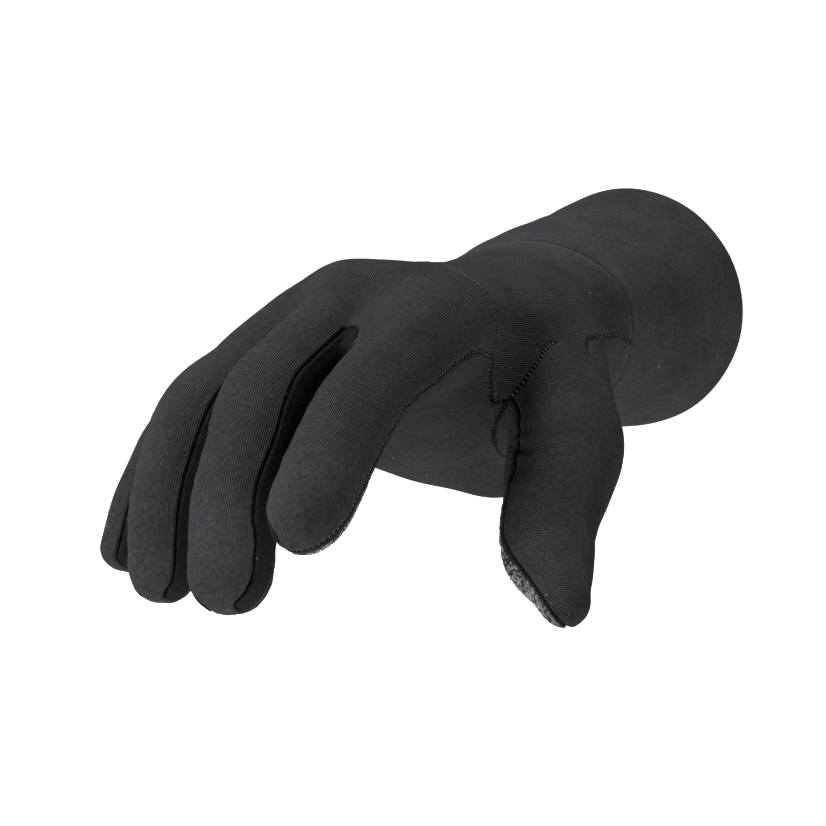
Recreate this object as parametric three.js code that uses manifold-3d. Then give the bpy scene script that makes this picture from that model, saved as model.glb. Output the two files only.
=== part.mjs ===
// A knitted glove liner for a right hand, with a long flared gauntlet, in the form that it takes when worn.
// It is sewn from panels: a back with the backs of four fingers, a palm with their fronts, three forked
// strips between the fingers, a thumb in two halves, a wrist yoke and the gauntlet. Two printed grip
// patches lie on the tips of the index finger and the thumb.
// Millimetres and degrees. The origin is the centre of the gauntlet's mouth: +Y points out of the mouth
// and -Y to the fingertips, +Z to the back of the hand and +X to the thumb.
import * as THREE from "three";
import { mergeVertices } from "three/addons/utils/BufferGeometryUtils.js";
import Module from "manifold-3d";

const wasm = await Module();
wasm.setup();

// Cloth
const WALL = 1.2;
const SEAM_GAP = 0.35;
const BLACK = 0x242427;
const PRINT_THICKNESS = 0.5;
const PRINT_GAP = 0.3;
const PRINT = 0x6d6d70;

// Gauntlet and wrist
const GAUNTLET_LENGTH = 79;
const YOKE_LENGTH = 24;
const MOUTH_WIDTH = 76;
const MOUTH_DEPTH = 76;
const GAUNTLET_SEAM_WIDTH = 62;
const GAUNTLET_SEAM_DEPTH = 54;
const WRIST_WIDTH = 60;
const WRIST_DEPTH = 46;

// Hand
const PALM_LENGTH = 91;
const KNUCKLE_WIDTH = 87;
const KNUCKLE_DEPTH = 30;
const KNUCKLE_ARCH = 5;
const WEB_DEPTH = 19;
const HAND_TILT = 3.2;
const HAND_SWING = -6.5;
const HAND_ROLL = -10.8;

// Fingers: length from the knuckle to the tip, and width at the middle joint
const INDEX_LENGTH = 90;
const INDEX_WIDTH = 21.2;
const MIDDLE_LENGTH = 102.5;
const MIDDLE_WIDTH = 21.6;
const RING_LENGTH = 92.5;
const RING_WIDTH = 20.4;
const LITTLE_LENGTH = 73;
const LITTLE_WIDTH = 17;
const THUMB_LENGTH = 114.5;
const THUMB_WIDTH = 28;

// Where the hand starts, and how far the bend of each finger joint is spread along the finger
const ARM_LENGTH = GAUNTLET_LENGTH + YOKE_LENGTH;
const JOINT_SPREAD = 17;

// Seams: how far the gauntlet's seam leans over the arm, how far down the side seams lie, how far along the
// thumb its own cloth starts, where the forked strips and the grips lie along and round the digits in half
// widths, and the lines of the seams over the back of the hand and over the palm
const GAUNTLET_TILT = 25;
const SIDE_SEAM_DROP = 8;
const THUMB_SEAM = 27;
const THUMB_SEAM_ROOM = 3;
const THUMB_PAD_EDGE = -0.4;
const FORK_START = 12;
const FORK_END = 4;
const FORK_PALM_EDGE = -0.72;
const FORK_BACK_EDGE = 0.2;
const FORK_INSIDE = 0.35;
const FORK_OUTSIDE = 1.2;
const SIDE_SEAM = -0.3;
const PAST_WEB = 3;
const FINGER_ROOM = 0.4;
const THUMB_GRIP_START = 78;
const INDEX_GRIP_START = 64;
const GRIP_EDGE = -0.5;
const BEYOND = 150;
const BACK_SEAM = [
  [-BEYOND, 0.3 * PALM_LENGTH],
  [-0.12 * KNUCKLE_WIDTH, 0.46 * PALM_LENGTH],
  [0.33 * KNUCKLE_WIDTH, 0.8 * PALM_LENGTH],
  [BEYOND, 0.87 * PALM_LENGTH],
];
const PALM_SEAM = [
  [-BEYOND, 0.04 * PALM_LENGTH],
  [BEYOND, 0.04 * PALM_LENGTH],
];

// How far the cuts reach past the mouth, past the tips and to the sides of a digit in its half widths, and
// the least half width of a cut along a digit as a share of its width
const PAST_MOUTH = 2;
const PAST_TIP = 5;
const PAST_SIDE = 1.3;
const PAST_THUMB = 2;
const PAST_PAD = 2;
const BAR_LEAST = 0.4;

// How finely the surfaces are divided, and the size of the slivers that are cleared
const SHORTEST_EDGE = 0.1;
const WELD = 0.001;
const BAR_STEPS = 10;
const AROUND_BODY = 28;
const AROUND_DIGIT = 12;
const ALONG_DIGIT = 9;

const radians = THREE.MathUtils.degToRad;
const { lerp, smoothstep } = THREE.MathUtils;

// The hand's frame at the wrist: side to the thumb, forward to the fingers, back out of the hand's back
const handTurn = new THREE.Matrix4()
  .makeRotationX(radians(HAND_TILT))
  .multiply(new THREE.Matrix4().makeRotationZ(radians(HAND_SWING)))
  .multiply(new THREE.Matrix4().makeRotationY(radians(HAND_ROLL)));
const hand = {
  origin: new THREE.Vector3(0, -ARM_LENGTH, 0),
  side: new THREE.Vector3(1, 0, 0).applyMatrix4(handTurn),
  forward: new THREE.Vector3(0, -1, 0).applyMatrix4(handTurn),
  back: new THREE.Vector3(0, 0, 1).applyMatrix4(handTurn),
};
const arm = {
  origin: new THREE.Vector3(0, 0, 0),
  side: new THREE.Vector3(1, 0, 0),
  forward: new THREE.Vector3(0, -1, 0),
  back: new THREE.Vector3(0, 0, 1),
};

// A point of a frame, by its distances to the side, forward and to the back.
function pointIn(frame, side, forward, back) {
  return frame.origin
    .clone()
    .addScaledVector(frame.side, side)
    .addScaledVector(frame.forward, forward)
    .addScaledVector(frame.back, back);
}

// Sections of the arm and the hand, as arched ovals at a distance forward in their frame. back and palm
// are the heights over and under the middle, across moves the section to the thumb, lean lifts its thumb
// side and drops the other, drop lowers the side seams, slant moves the thumb side forward, and square fills
// the corners.
// Arm rows: at is a share of the gauntlet's length, and the others are shares of the mouth's sizes.
const ARM_ROWS = [
  { at: 0, width: 1, back: 0.5, palm: 0.49 },
  { at: 0.3, width: 0.94, back: 0.44, palm: 0.46 },
  { at: 0.65, width: 0.87, back: 0.395, palm: 0.41 },
].map(({ at, width, back, palm }) => ({
  frame: arm,
  at: at * GAUNTLET_LENGTH,
  width: width * MOUTH_WIDTH,
  back: back * MOUTH_DEPTH,
  palm: palm * MOUTH_DEPTH,
}));
const WRIST_ROWS = [
  {
    frame: arm, at: GAUNTLET_LENGTH, width: GAUNTLET_SEAM_WIDTH,
    back: 0.48 * GAUNTLET_SEAM_DEPTH, palm: 0.52 * GAUNTLET_SEAM_DEPTH,
  },
  {
    frame: hand, at: -0.3 * YOKE_LENGTH, width: WRIST_WIDTH,
    back: 0.47 * WRIST_DEPTH, palm: 0.56 * WRIST_DEPTH,
  },
  {
    frame: hand, at: 0.12 * PALM_LENGTH, width: 1.03 * WRIST_WIDTH,
    back: 0.42 * WRIST_DEPTH, palm: 0.84 * WRIST_DEPTH, slant: 0.01 * PALM_LENGTH, square: 2.1,
  },
];
// Hand rows: at and slant are shares of the palm's length, width and across of the knuckles' width, arch of
// the knuckles' arch, and the other heights of the knuckles' depth.
const HAND_ROWS = [
  {
    at: 0.3, width: 0.8, across: -0.005, back: 0.55, palm: 1.42, arch: 0.3,
    lean: 0, slant: 0.02, square: 2.2,
  },
  {
    at: 0.55, width: 0.92, across: -0.02, back: 0.52, palm: 1.3, arch: 0.85,
    lean: 0.03, slant: 0.04, square: 2.3,
  },
  {
    at: 0.78, width: 0.95, across: -0.035, back: 0.51, palm: 0.95, arch: 1,
    lean: 0.16, slant: 0.06, square: 2.4,
  },
  {
    at: 0.92, width: 0.95, across: -0.035, back: 0.46, palm: 0.72, arch: 1,
    lean: 0.2, slant: 0.07, square: 2.5,
  },
  {
    at: 1.04, width: 0.92, across: -0.035, back: 0.32, palm: 0.55, arch: 0.2,
    lean: 0.16, slant: 0.08, square: 2.6,
  },
].map((row) => handRow(row, row.at * PALM_LENGTH));
// Web rows: as the hand rows, but at is a share of the webs' depth past the palm.
const WEB_ROWS = [
  {
    at: 0.8, width: 0.9, across: -0.035, back: 0.2, palm: 0.35,
    arch: -0.4, lean: 0.13, drop: 0.08, slant: 0.09, square: 2.6,
  },
  {
    at: 1, width: 0.84, across: -0.035, back: 0.12, palm: 0.15,
    arch: -0.7, lean: 0.13, drop: 0.12, slant: 0.09, square: 2.6,
  },
].map((row) => handRow(row, PALM_LENGTH + row.at * WEB_DEPTH));
const LEVEL = { across: 0, arch: 0, lean: 0, drop: 0, slant: 0, square: 2 };
const BODY_ROWS = [...ARM_ROWS, ...WRIST_ROWS, ...HAND_ROWS, ...WEB_ROWS].map((row) => ({
  ...LEVEL,
  ...row,
}));

// A row of the hand in millimetres, from its shares.
function handRow({ width, across, back, palm, arch, lean, drop = 0, slant, square }, at) {
  return {
    frame: hand,
    at,
    width: width * KNUCKLE_WIDTH,
    across: across * KNUCKLE_WIDTH,
    back: back * KNUCKLE_DEPTH,
    palm: palm * KNUCKLE_DEPTH,
    arch: arch * KNUCKLE_ARCH,
    lean: lean * KNUCKLE_DEPTH,
    drop: drop * KNUCKLE_DEPTH,
    slant: slant * PALM_LENGTH,
    square,
  };
}

// The fingers. across, ahead and rise place the knuckle in the hand's frame, spread turns the finger to the
// thumb, bends are the bends at its three joints, and widths are shares of its width at the base, at the
// middle joint, at the last joint and at the tip. The joints are shares of its length.
const DIGITS = [
  {
    name: "index", length: INDEX_LENGTH, width: INDEX_WIDTH,
    across: 0.315 * KNUCKLE_WIDTH, ahead: 0.967 * PALM_LENGTH, rise: 0.7 * KNUCKLE_ARCH,
    widths: [1.4, 1.16, 1, 0.88], spread: 4.6, bends: [14.6, 19.4, 12.5],
  },
  {
    name: "middle", length: MIDDLE_LENGTH, width: MIDDLE_WIDTH,
    across: 0.057 * KNUCKLE_WIDTH, ahead: PALM_LENGTH, rise: 1.75 * KNUCKLE_ARCH,
    widths: [1.06, 1, 0.91, 0.85], spread: 1.8, bends: [18.4, 31.8, 20.6],
  },
  {
    name: "ring", length: RING_LENGTH, width: RING_WIDTH,
    across: -0.165 * KNUCKLE_WIDTH, ahead: 0.934 * PALM_LENGTH, rise: 0.7 * KNUCKLE_ARCH,
    widths: [1.06, 1, 0.91, 0.85], spread: -6.5, bends: [17.1, 36.8, 25.1],
  },
  {
    name: "little", length: LITTLE_LENGTH, width: LITTLE_WIDTH,
    across: -0.37 * KNUCKLE_WIDTH, ahead: 0.835 * PALM_LENGTH, rise: -0.6 * KNUCKLE_ARCH,
    widths: [1.06, 1, 0.91, 0.85], spread: -12, bends: [23, 22.8, 16.6],
  },
];
const FINGER_JOINTS = [0, 0.462, 0.736];

// The thumb, which is turned away from the fingers, down to the palm and about its own length.
const THUMB = {
  name: "thumb", length: THUMB_LENGTH, width: THUMB_WIDTH,
  across: 0.33 * WRIST_WIDTH, ahead: 0.22 * PALM_LENGTH, rise: -0.17 * WRIST_DEPTH,
  widths: [1.35, 1.1, 0.95, 0.4], away: 37, down: 25, turn: -36.3, bends: [2, 21, -20],
};
const THUMB_JOINTS = [0, 0.416, 0.724];

// How far a digit reaches back into the hand and how thin it is there, how long its round tip is in half
// widths and how blunt, and how flat its section is
const DIGIT_ROOT = 14;
const ROOT_TAPER = 0.7;
const TIP_ROUND = 1.05;
const TIP_ANGLES = [30, 52, 70, 84];
const TIP_BLUNTNESS = 0.85;
const DIGIT_FLATNESS = 0.94;

// The frame that a digit starts in.
function digitFrame(digit) {
  const turn = new THREE.Matrix4();
  if (digit.name === "thumb") {
    turn
      .makeRotationZ(radians(-digit.away))
      .multiply(new THREE.Matrix4().makeRotationX(radians(-digit.down)))
      .multiply(new THREE.Matrix4().makeRotationY(radians(digit.turn)));
  } else {
    turn.makeRotationZ(radians(-digit.spread));
  }
  const inHand = (side, forward, back) => {
    const local = new THREE.Vector3(side, forward, back).applyMatrix4(turn);
    return new THREE.Vector3()
      .addScaledVector(hand.side, local.x)
      .addScaledVector(hand.forward, local.y)
      .addScaledVector(hand.back, local.z);
  };
  const isThumb = digit.name === "thumb";
  return {
    origin: pointIn(hand, digit.across, digit.ahead, digit.rise),
    side: isThumb ? inHand(0, 0, -1) : inHand(1, 0, 0),
    forward: inHand(0, 1, 0),
    back: isThumb ? inHand(1, 0, 0) : inHand(0, 0, 1),
  };
}

// The digit's centre line as frames, from its root in the hand to a distance past its tip.
function digitSpine(digit, joints, past) {
  const start = digitFrame(digit);
  const step = 1;
  const end = digit.length + past;
  const bendAt = (s) =>
    joints.reduce((sum, joint, i) => {
      const from = joint * digit.length - JOINT_SPREAD / 2;
      return sum + digit.bends[i] * smoothstep(s, from, from + JOINT_SPREAD);
    }, 0);
  const frames = [];
  const at = start.origin.clone().addScaledVector(start.forward, -DIGIT_ROOT);
  for (let s = -DIGIT_ROOT; s <= end + 1e-6; s += step) {
    const bend = radians(bendAt(s));
    const forward = start.forward.clone().multiplyScalar(Math.cos(bend));
    forward.addScaledVector(start.back, -Math.sin(bend));
    const back = start.back.clone().multiplyScalar(Math.cos(bend));
    back.addScaledVector(start.forward, Math.sin(bend));
    frames.push({ s, origin: at.clone(), side: start.side, forward, back });
    at.addScaledVector(forward, step);
  }
  return frames;
}

// The half width of a digit at a distance s from its knuckle, without the rounding of its tip.
function digitRadius(digit, joints, s) {
  const stops = [...joints, 1].map((joint) => joint * digit.length);
  let i = 0;
  while (i < stops.length - 2 && s > stops[i + 1]) i += 1;
  const share = smoothstep(s, stops[i], stops[i + 1]);
  const rooted = s < 0 ? lerp(1, ROOT_TAPER, -s / DIGIT_ROOT) : 1;
  return (digit.width / 2) * lerp(digit.widths[i], digit.widths[i + 1], share) * rooted;
}

// The stations along a digit where it gets a section: even up to the tip, then closer over the round end.
function digitStations(digit, tipRadius, from) {
  const roundFrom = digit.length - TIP_ROUND * tipRadius;
  const stations = [];
  for (let i = 0; i <= ALONG_DIGIT; i += 1) {
    stations.push({ s: lerp(from, roundFrom, i / ALONG_DIGIT), shrink: 1 });
  }
  for (const angle of TIP_ANGLES) {
    const reach = Math.sin(radians(angle));
    const shrink = Math.cos(radians(angle)) ** TIP_BLUNTNESS;
    stations.push({ s: lerp(roundFrom, digit.length, reach), shrink });
  }
  return stations;
}

// A closed solid from a list of loops of points, each with as many points, and its two ends closed by fans.
function loft(loops) {
  const count = loops[0].length;
  const positions = loops.flat().flatMap((p) => [p.x, p.y, p.z]);
  const index = [];
  loops.slice(1).forEach((_, row) => {
    for (let i = 0; i < count; i += 1) {
      const a = row * count + i;
      const b = row * count + ((i + 1) % count);
      index.push(a, b, b + count, a, b + count, a + count);
    }
  });
  const last = (loops.length - 1) * count;
  for (let i = 1; i < count - 1; i += 1) {
    index.push(0, i + 1, i, last, last + i, last + i + 1);
  }
  const geometry = new THREE.BufferGeometry();
  geometry.setAttribute("position", new THREE.Float32BufferAttribute(positions, 3));
  geometry.setIndex(index);
  return solidOf(geometry);
}

// A geometry as a solid that can be joined and cut, with its faces turned outwards.
function solidOf(geometry) {
  const bare = geometry.clone();
  bare.deleteAttribute("normal");
  bare.deleteAttribute("uv");
  const merged = mergeVertices(bare, WELD);
  const vertProperties = merged.attributes.position.array;
  const make = (triVerts) => new wasm.Manifold(new wasm.Mesh({ numProp: 3, vertProperties, triVerts }));
  const solid = make(new Uint32Array(merged.index.array));
  return solid.volume() > 0 ? solid : make(new Uint32Array(merged.index.array).reverse());
}

// One loop of a flat arched oval, grown outwards by an offset.
function ovalLoop(row, offset) {
  const loop = [];
  const halfWidth = row.width / 2 + offset;
  for (let i = 0; i < AROUND_BODY; i += 1) {
    const angle = (2 * Math.PI * i) / AROUND_BODY;
    const power = 2 / row.square;
    const x = Math.sign(Math.cos(angle)) * Math.abs(Math.cos(angle)) ** power;
    const z = Math.sign(Math.sin(angle)) * Math.abs(Math.sin(angle)) ** power;
    const height = (z > 0 ? row.back : row.palm) + offset;
    loop.push(
      pointIn(
        row.frame,
        row.across + halfWidth * x,
        row.at + row.slant * x,
        height * z + row.lean * x + row.arch * (1 - x * x),
      ),
    );
  }
  return loop;
}

// The arm and the hand without the digits, grown outwards by an offset.
function bodySolid(offset, pastMouth) {
  const webRow = BODY_ROWS.at(-1);
  const rows = [...BODY_ROWS.slice(0, -1), { ...webRow, at: webRow.at + offset }];
  if (pastMouth > 0) rows.unshift({ ...BODY_ROWS[0], at: -pastMouth });
  return loft(rows.map((row) => ovalLoop(row, offset)));
}

// A digit's tube from a distance along it to its tip, grown outwards by an offset.
function digitSolid(digit, joints, offset, from = -DIGIT_ROOT) {
  const spine = digitSpine(digit, joints, 0);
  const tipRadius = digitRadius(digit, joints, digit.length);
  const loops = digitStations(digit, tipRadius, from).map(({ s, shrink }) => {
    const frame = frameAt(spine, s);
    const forward = shrink < 1 ? offset * Math.sqrt(1 - shrink * shrink) : 0;
    const radius = (digitRadius(digit, joints, s) + offset) * shrink;
    const loop = [];
    for (let i = 0; i < AROUND_DIGIT; i += 1) {
      const angle = (2 * Math.PI * (i + 0.5)) / AROUND_DIGIT;
      const side = radius * Math.cos(angle);
      const back = radius * DIGIT_FLATNESS * Math.sin(angle);
      loop.push(pointIn(frame, side, forward, back));
    }
    return loop;
  });
  return loft(loops);
}

function frameAt(spine, s) {
  const i = Math.max(0, Math.min(spine.length - 2, Math.floor(s - spine[0].s)));
  const share = s - spine[i].s;
  return { ...spine[i], origin: spine[i].origin.clone().addScaledVector(spine[i].forward, share) };
}

// The largest body of a solid, which drops the slivers that a cut can leave.
function largestOf(solid) {
  return solid.decompose().reduce((best, body) => (body.volume() > best.volume() ? body : best));
}

const outer = wasm.Manifold.union([
  bodySolid(0, 0),
  ...DIGITS.map((digit) => digitSolid(digit, FINGER_JOINTS, 0)),
  digitSolid(THUMB, THUMB_JOINTS, 0),
]);
const hollow = wasm.Manifold.union([
  bodySolid(-WALL, PAST_MOUTH),
  ...DIGITS.map((digit) => digitSolid(digit, FINGER_JOINTS, -WALL)),
  digitSolid(THUMB, THUMB_JOINTS, -WALL),
]);
const shell = largestOf(outer.subtract(hollow));

// A solid between two like loops of points, for cutting.
function prism(points, direction, from, to) {
  const moved = (distance) => points.map((p) => p.clone().addScaledVector(direction, distance));
  return loft([moved(from), moved(to)]);
}

// A cutting bar that follows a digit between two distances. Its rectangular section reaches from side0 to
// side1 and from back0 to back1, in shares of the half width, and is grown by an offset.
function bar(digit, joints, { from, to, side0, side1, back0, back1 }, grow) {
  const past = Math.max(0, to + grow - digit.length) + 1;
  const spine = digitSpine(digit, joints, past);
  const loops = [];
  for (let i = 0; i <= BAR_STEPS; i += 1) {
    const s = lerp(from - grow, to + grow, i / BAR_STEPS);
    const frame = frameAt(spine, s);
    const radius = Math.max(digitRadius(digit, joints, s), BAR_LEAST * digit.width);
    const corners = [
      [side0 * radius - grow, back0 * radius - grow],
      [side1 * radius + grow, back0 * radius - grow],
      [side1 * radius + grow, back1 * radius + grow],
      [side0 * radius - grow, back1 * radius + grow],
    ];
    loops.push(corners.map(([side, back]) => pointIn(frame, side, 0, back)));
  }
  return loft(loops);
}

// The gauntlet is everything behind a plane that leans over the arm.
function gauntletZone(grow) {
  const lean = Math.tan(radians(GAUNTLET_TILT));
  const edge = (z) => new THREE.Vector3(-BEYOND, -GAUNTLET_LENGTH - lean * z - grow, z);
  const far = (z) => new THREE.Vector3(-BEYOND, BEYOND, z);
  const outline = [edge(-BEYOND), edge(BEYOND), far(BEYOND), far(-BEYOND)];
  return prism(outline, arm.side, 0, 2 * BEYOND);
}

// Everything in front of a seam over the hand, which is a line of distances to the side and forward.
function frontZone(seam, grow) {
  const corners = seam.map(([side, forward]) => pointIn(hand, side, forward - grow, 0));
  const outline = [
    ...corners,
    pointIn(hand, BEYOND, 2 * BEYOND, 0),
    pointIn(hand, -BEYOND, 2 * BEYOND, 0),
  ];
  return prism(outline, hand.back, -BEYOND, BEYOND);
}

// Everything under the side seams of the arm and the hand, up to the webs between the fingers.
function underBody(grow) {
  const loops = BODY_ROWS.slice(1).map((row) => {
    const front = (share) => row.at + 2 * share * row.slant + grow;
    const edge = (share, height) => pointIn(row.frame, row.across + share * row.width, front(share), height);
    const seam = (share) => 2 * share * row.lean - SIDE_SEAM_DROP - row.drop + grow;
    return [edge(-1, -BEYOND), edge(1, -BEYOND), edge(1, seam(1)), edge(-1, seam(-1))];
  });
  return loft(loops);
}

// A solid's surface as a geometry.
function geometryOf(solid) {
  const mesh = solid.getMesh();
  const geometry = new THREE.BufferGeometry();
  geometry.setAttribute("position", new THREE.BufferAttribute(new Float32Array(mesh.vertProperties), 3));
  geometry.setIndex(new THREE.BufferAttribute(new Uint32Array(mesh.triVerts), 1));
  return geometry;
}

const glove = new THREE.Group();
function addMesh(name, solid, color) {
  const clean = largestOf(solid.simplify(SHORTEST_EDGE));
  const welded = largestOf(solidOf(geometryOf(clean)));
  const geometry = geometryOf(welded);
  geometry.computeVertexNormals();
  const material = new THREE.MeshStandardMaterial({ color, roughness: 0.9, metalness: 0 });
  const node = new THREE.Mesh(geometry, material);
  node.name = name;
  glove.add(node);
}

// The thumb is parted from the hand round its root, and its pad from its back.
const thumbZone = (grow) => digitSolid(THUMB, THUMB_JOINTS, THUMB_SEAM_ROOM + grow, THUMB_SEAM - grow);
const thumbShell = shell.intersect(thumbZone(0));
const padSection = {
  from: 0, to: THUMB.length + PAST_TIP, back0: -PAST_PAD, back1: THUMB_PAD_EDGE,
  side0: -PAST_THUMB, side1: PAST_THUMB,
};
const padZone = (grow) => bar(THUMB, THUMB_JOINTS, padSection, grow);
addMesh("thumb_back", thumbShell.subtract(padZone(SEAM_GAP)), BLACK);
addMesh("thumb_palm", thumbShell.intersect(padZone(0)), BLACK);

// The gauntlet
const armShell = shell.subtract(thumbZone(SEAM_GAP));
addMesh("gauntlet", armShell.intersect(gauntletZone(0)), BLACK);
let rest = armShell.subtract(gauntletZone(SEAM_GAP));

// A forked strip between each two fingers lines the sides that face each other.
const FORKS = [
  ["fourchette_index_middle", DIGITS[0], DIGITS[1]],
  ["fourchette_middle_ring", DIGITS[1], DIGITS[2]],
  ["fourchette_ring_little", DIGITS[2], DIGITS[3]],
];
const forkZone = (first, second, grow) => {
  const strip = (digit) => ({
    from: FORK_START, to: digit.length - FORK_END, back0: FORK_PALM_EDGE, back1: FORK_BACK_EDGE,
  });
  return wasm.Manifold.union(
    bar(first, FINGER_JOINTS, { ...strip(first), side0: -FORK_OUTSIDE, side1: -FORK_INSIDE }, grow),
    bar(second, FINGER_JOINTS, { ...strip(second), side0: FORK_INSIDE, side1: FORK_OUTSIDE }, grow),
  );
};
for (const [name, first, second] of FORKS) {
  addMesh(name, rest.intersect(forkZone(first, second, 0)), BLACK);
  rest = rest.subtract(forkZone(first, second, SEAM_GAP));
}

// Seams along the sides part the backs from the palms.
const underDigit = (digit, grow) => {
  const section = {
    from: 0, to: digit.length + PAST_TIP, back0: -PAST_PAD, back1: SIDE_SEAM,
    side0: -PAST_SIDE, side1: PAST_SIDE,
  };
  return bar(digit, FINGER_JOINTS, section, grow);
};

// Past the webs, each finger has a back and a front of its own.
const fingerZone = (digit, grow) => {
  const section = {
    from: PALM_LENGTH + WEB_DEPTH + PAST_WEB - digit.ahead, to: digit.length + PAST_TIP,
    side0: -PAST_SIDE, side1: PAST_SIDE, back0: -PAST_PAD, back1: PAST_PAD,
  };
  const tube = digitSolid(digit, FINGER_JOINTS, FINGER_ROOM + grow);
  return tube.intersect(bar(digit, FINGER_JOINTS, section, grow));
};
for (const digit of DIGITS) {
  const tube = rest.intersect(fingerZone(digit, 0));
  addMesh(`${digit.name}_back`, tube.subtract(underDigit(digit, SEAM_GAP)), BLACK);
  addMesh(`${digit.name}_front`, tube.intersect(underDigit(digit, 0)), BLACK);
  rest = rest.subtract(fingerZone(digit, SEAM_GAP));
}
const palmSide = (grow) =>
  wasm.Manifold.union([underBody(grow), ...DIGITS.map((digit) => underDigit(digit, grow))]);
const backHalf = rest.subtract(palmSide(SEAM_GAP));
const palmHalf = rest.intersect(palmSide(0));
addMesh("back_panel", backHalf.intersect(frontZone(BACK_SEAM, 0)), BLACK);
addMesh("wrist_back", backHalf.subtract(frontZone(BACK_SEAM, SEAM_GAP)), BLACK);
addMesh("palm_panel", palmHalf.intersect(frontZone(PALM_SEAM, 0)), BLACK);
addMesh("wrist_palm", palmHalf.subtract(frontZone(PALM_SEAM, SEAM_GAP)), BLACK);

// Grip patches lie on the pads of the thumb and the index finger.
function addGrip(name, digit, joints, from) {
  const section = {
    from, to: digit.length + PAST_TIP, back0: -PAST_PAD, back1: GRIP_EDGE,
    side0: -PAST_SIDE, side1: PAST_SIDE,
  };
  const above = (height) => digitSolid(digit, joints, height);
  const layer = above(PRINT_GAP + PRINT_THICKNESS).subtract(above(PRINT_GAP));
  addMesh(name, layer.intersect(bar(digit, joints, section, 0)), PRINT);
}
addGrip("thumb_grip", THUMB, THUMB_JOINTS, THUMB_GRIP_START);
addGrip("index_grip", DIGITS[0], FINGER_JOINTS, INDEX_GRIP_START);

export default glove;
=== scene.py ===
"""A knitted glove liner for a right hand with a long gauntlet.

The cloth is one smooth surface round a hollow in the form of a bent hand. It is cut along its seams into
panels, and each panel gets its thickness, the grooves and stitches of its seams, and the run of its knit.
Lengths are in millimetres, in the frame's own axes, until MM turns them into metres.
"""

import itertools
import math

import bpy
from mathutils import Matrix, Vector
import numpy as np


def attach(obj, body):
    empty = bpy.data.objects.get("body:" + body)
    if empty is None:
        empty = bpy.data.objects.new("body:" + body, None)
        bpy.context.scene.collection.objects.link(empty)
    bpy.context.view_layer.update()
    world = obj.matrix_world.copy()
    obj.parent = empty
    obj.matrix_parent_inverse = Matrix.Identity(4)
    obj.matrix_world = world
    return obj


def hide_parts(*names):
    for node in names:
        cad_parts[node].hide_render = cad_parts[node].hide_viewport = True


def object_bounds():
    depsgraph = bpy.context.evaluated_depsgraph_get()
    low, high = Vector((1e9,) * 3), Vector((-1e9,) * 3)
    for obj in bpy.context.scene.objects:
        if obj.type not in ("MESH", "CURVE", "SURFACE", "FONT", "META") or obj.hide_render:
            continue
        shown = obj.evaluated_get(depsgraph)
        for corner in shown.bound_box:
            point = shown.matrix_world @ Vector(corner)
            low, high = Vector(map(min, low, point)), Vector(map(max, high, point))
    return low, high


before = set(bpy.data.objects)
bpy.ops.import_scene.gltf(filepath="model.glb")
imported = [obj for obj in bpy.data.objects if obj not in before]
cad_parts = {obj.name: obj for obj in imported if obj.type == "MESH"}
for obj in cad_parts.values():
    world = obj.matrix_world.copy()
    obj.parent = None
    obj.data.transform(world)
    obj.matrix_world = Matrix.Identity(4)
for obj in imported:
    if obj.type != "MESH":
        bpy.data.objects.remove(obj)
cad_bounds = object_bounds()
MM = 0.001

# The hand's sizes, as in the frame
GAUNTLET_LENGTH = 79
YOKE_LENGTH = 24
ARM_LENGTH = GAUNTLET_LENGTH + YOKE_LENGTH
MOUTH_WIDTH = 76
MOUTH_DEPTH = 76
GAUNTLET_SEAM_WIDTH = 62
GAUNTLET_SEAM_DEPTH = 54
WRIST_WIDTH = 60
WRIST_DEPTH = 46
PALM_LENGTH = 91
KNUCKLE_WIDTH = 87
KNUCKLE_DEPTH = 30
KNUCKLE_ARCH = 5
HAND_TILT, HAND_SWING, HAND_ROLL = 3.2, -6.5, -10.8
GAUNTLET_TILT = math.radians(25)
CLOTH = 1.1           # thickness of the knit

GRID = 1.0            # spacing of the grid that the surface is read from
PAST_MOUTH = 3        # how far the surface runs past the mouth before it is cut off there
BODY_BLEND = 3.5      # how softly the fingers grow out of the hand
THUMB_BLEND = 9
WEB_FILL = 7          # how much more softly they grow out of it between the knuckles
FINGER_GAP = 0.9      # gap between neighbouring fingers past the web
RIB_PITCH = 0.52
STITCH_PITCH = 1.45
END_BLEND = 4         # how softly a tube or the hand is closed at its end
FAR = 30.0            # stands for any distance too large to matter


def smoothstep(x, low, high):
    share = np.clip((x - low) / (high - low), 0, 1)
    return share * share * (3 - 2 * share)


def soft_min(a, b, blend):
    share = np.clip(0.5 + 0.5 * (b - a) / blend, 0, 1)
    return b + (a - b) * share - blend * share * (1 - share)


def soft_max(a, b, blend):
    return -soft_min(-a, -b, blend)


def turn(axis, degrees):
    """Rotation matrix about the x, y or z axis."""
    c, s = math.cos(math.radians(degrees)), math.sin(math.radians(degrees))
    i, j = (axis + 1) % 3, (axis + 2) % 3
    matrix = np.eye(3)
    matrix[i, i] = matrix[j, j] = c
    matrix[i, j], matrix[j, i] = -s, s
    return matrix


def unit(v):
    return v / np.maximum(np.linalg.norm(v, axis=-1, keepdims=True), 1e-9)


HAND_TURN = turn(0, HAND_TILT) @ turn(2, HAND_SWING) @ turn(1, HAND_ROLL)
HAND_ORIGIN = np.array([0.0, -ARM_LENGTH, 0.0])
HAND_SIDE, HAND_FORWARD, HAND_BACK = HAND_TURN @ [1, 0, 0], HAND_TURN @ [0, -1, 0], HAND_TURN @ [0, 0, 1]
ARM_FORWARD = np.array([0, -1.0, 0])

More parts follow.
